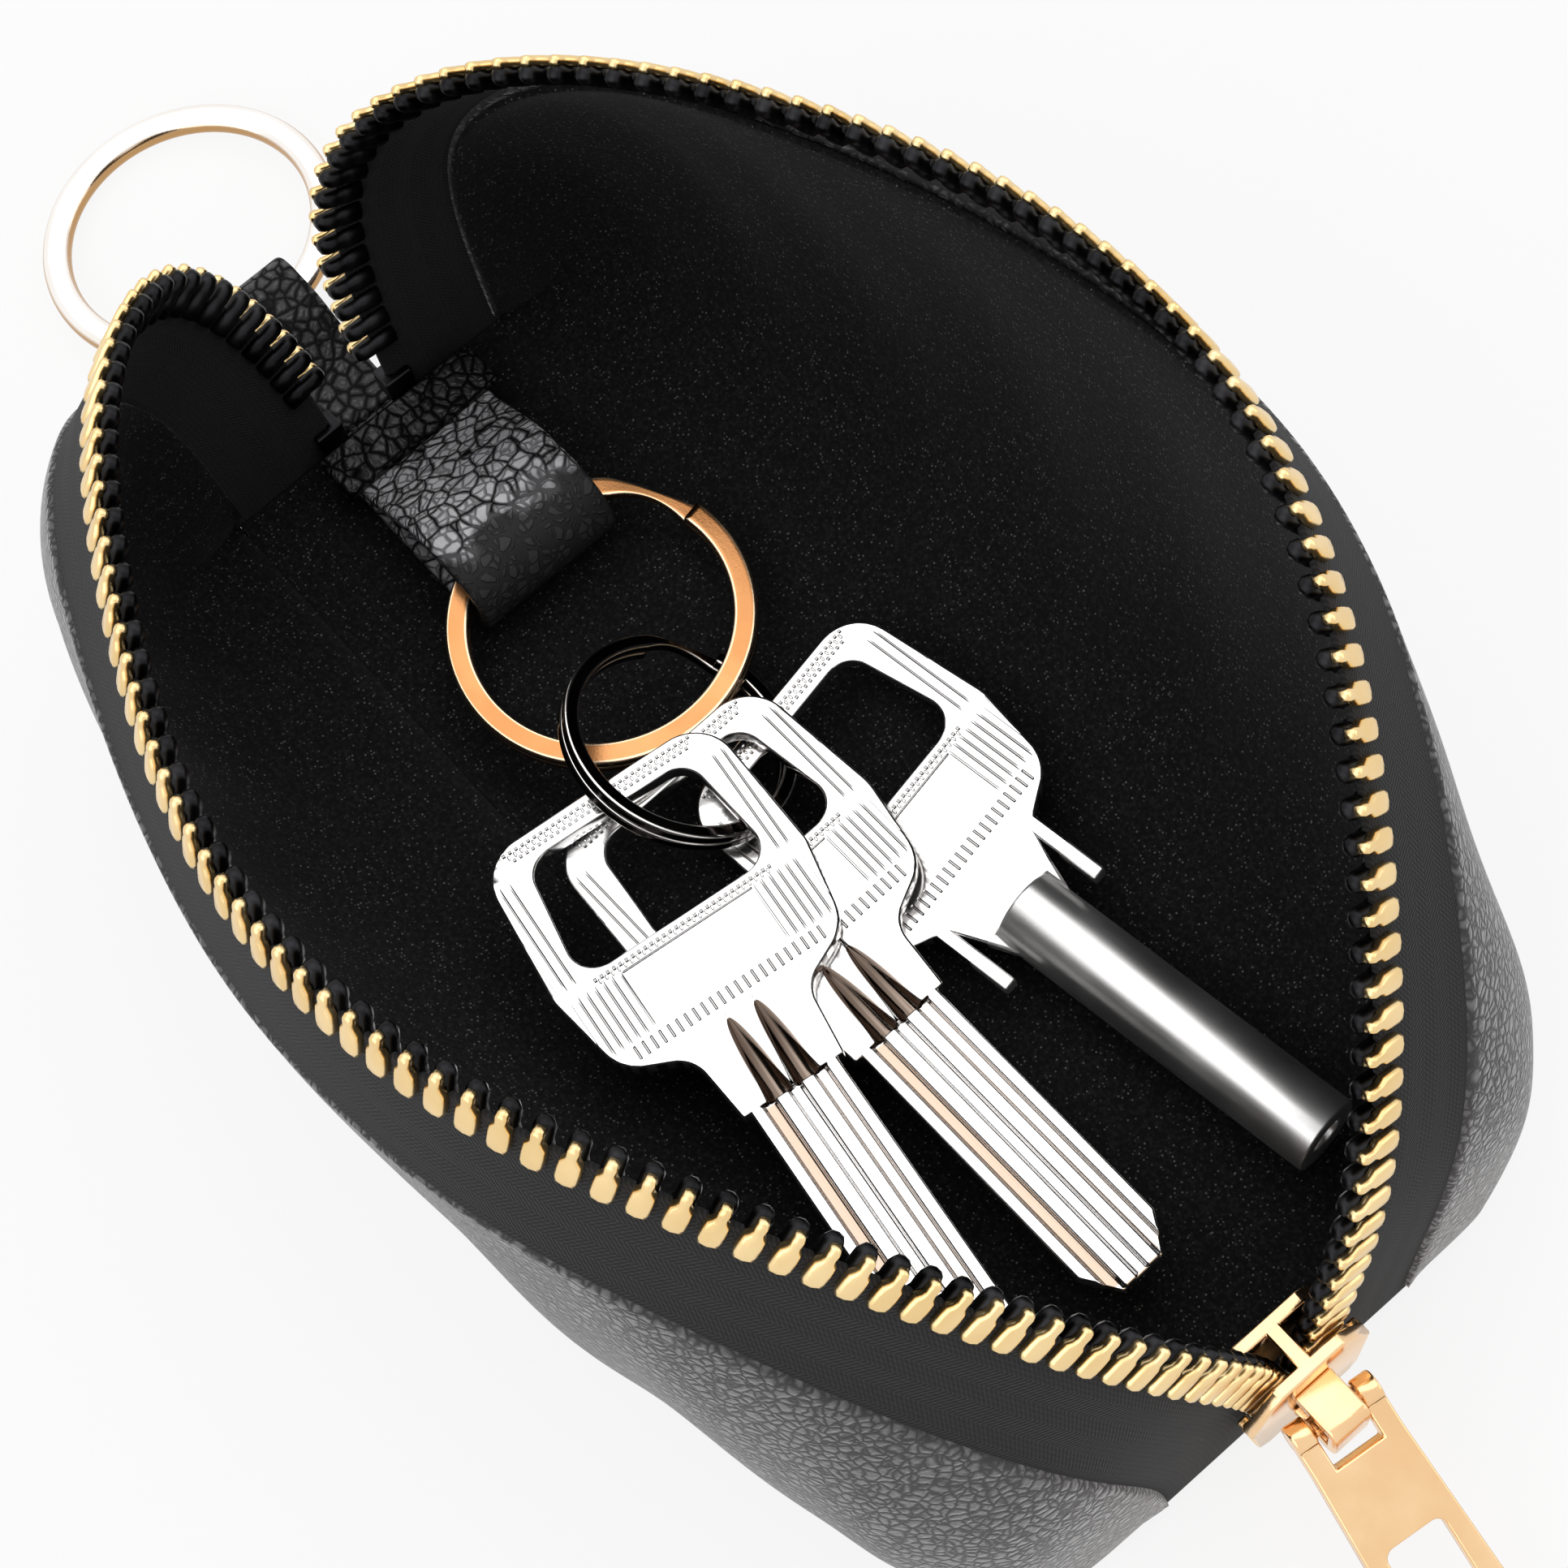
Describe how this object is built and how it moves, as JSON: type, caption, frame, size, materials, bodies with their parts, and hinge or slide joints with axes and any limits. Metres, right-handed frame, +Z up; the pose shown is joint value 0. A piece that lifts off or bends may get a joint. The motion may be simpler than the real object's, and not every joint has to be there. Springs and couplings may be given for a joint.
{
  "type": "zip-around key case",
  "caption": "Leather key case standing open on its base strip: zip with slider and puller, strap loop with linked key rings and keys, and an outer ring.",
  "frame": {"origin": "on the floor under the case, at the middle of the mouth's length and on its middle plane", "axes": "+X along the case towards the slider end of the zip, +Y towards the back panel, +Z up"},
  "size_m": [0.1842, 0.0854, 0.062],
  "materials": {
    "case_leather": "black pebbled leather",
    "lining_cloth": "black suede cloth",
    "zip_tape": "black woven tape",
    "zip_brass": "polished outer faces, oxidised dark elsewhere",
    "slider_gilt": "polished pale gilt",
    "spring_steel": "plain",
    "strap_leather": "black leather with a coarse crackled grain",
    "ring_gilt": "polished rose gilt",
    "ring_dark": "polished gunmetal",
    "key_nickel": "bright nickel"
  },
  "bodies": {
    "case": {"base_strip": "case_leather", "base_lining": "lining_cloth", "back_panel": "case_leather", "front_panel": "case_leather", "back_lining": "lining_cloth", "front_lining": "lining_cloth", "back_zip_tape": "zip_tape", "front_zip_tape": "zip_tape", "back_zip_teeth": "zip_brass", "front_zip_teeth": "zip_brass", "back_top_stop": "zip_brass", "front_top_stop": "zip_brass", "bottom_stop": "zip_brass", "key_strap": "strap_leather", "strap_patch": "strap_leather", "outer_strap": "case_leather"},
    "slider": {"slider_body": "slider_gilt", "slider_crown": "slider_gilt", "lock_spring": "spring_steel"},
    "puller": {"puller": "slider_gilt"},
    "key_ring": {"key_ring": "ring_gilt"},
    "split_ring": {"split_ring": "ring_dark"},
    "key_a": {"key_a": "key_nickel"},
    "key_b": {"key_b": "key_nickel"},
    "key_c": {"key_c": "key_nickel"},
    "outer_ring": {"outer_ring": "ring_gilt"}
  },
  "joints": [
    {"name": "slider_travel", "type": "slide", "parent": "case", "child": "slider", "axis": [0, 0, 1], "range_m": [0, 0.006], "deforming": ["back_zip_teeth", "front_zip_teeth"]},
    {"name": "puller_swing", "type": "hinge", "parent": "slider", "child": "puller", "pos_m": [0.0651, 0, 0.01265], "axis": [-0.1219, -0.9925, 0], "range_deg": [0, 105]},
    {"name": "key_ring_swing", "type": "hinge", "parent": "case", "child": "key_ring", "pos_m": [-0.0367, 0.002, 0.0074], "axis": [0, -1, 0], "range_deg": [0, 65]},
    {"name": "split_ring_swing", "type": "hinge", "parent": "key_ring", "child": "split_ring", "pos_m": [-0.0132, 0.002, 0.0074], "axis": [0, -1, 0], "range_deg": [0, 25]},
    {"name": "key_a_swing", "type": "hinge", "parent": "split_ring", "child": "key_a", "pos_m": [-0.0043, -0.0059, 0.0114], "axis": [0, 0, 1], "range_deg": [-12, 2]},
    {"name": "key_b_swing", "type": "hinge", "parent": "split_ring", "child": "key_b", "pos_m": [-0.0025, -0.0023, 0.0091], "axis": [0, 0, 1], "range_deg": [-4, 4]},
    {"name": "key_c_swing", "type": "hinge", "parent": "split_ring", "child": "key_c", "pos_m": [-0.0033, 0.0027, 0.0063], "axis": [0, 0, 1], "range_deg": [-3, 7]},
    {"name": "outer_ring_swing", "type": "hinge", "parent": "case", "child": "outer_ring", "pos_m": [-0.0717, 0, 0.0035], "axis": [0, 1, 0], "range_deg": [0, 80]}
  ]
}
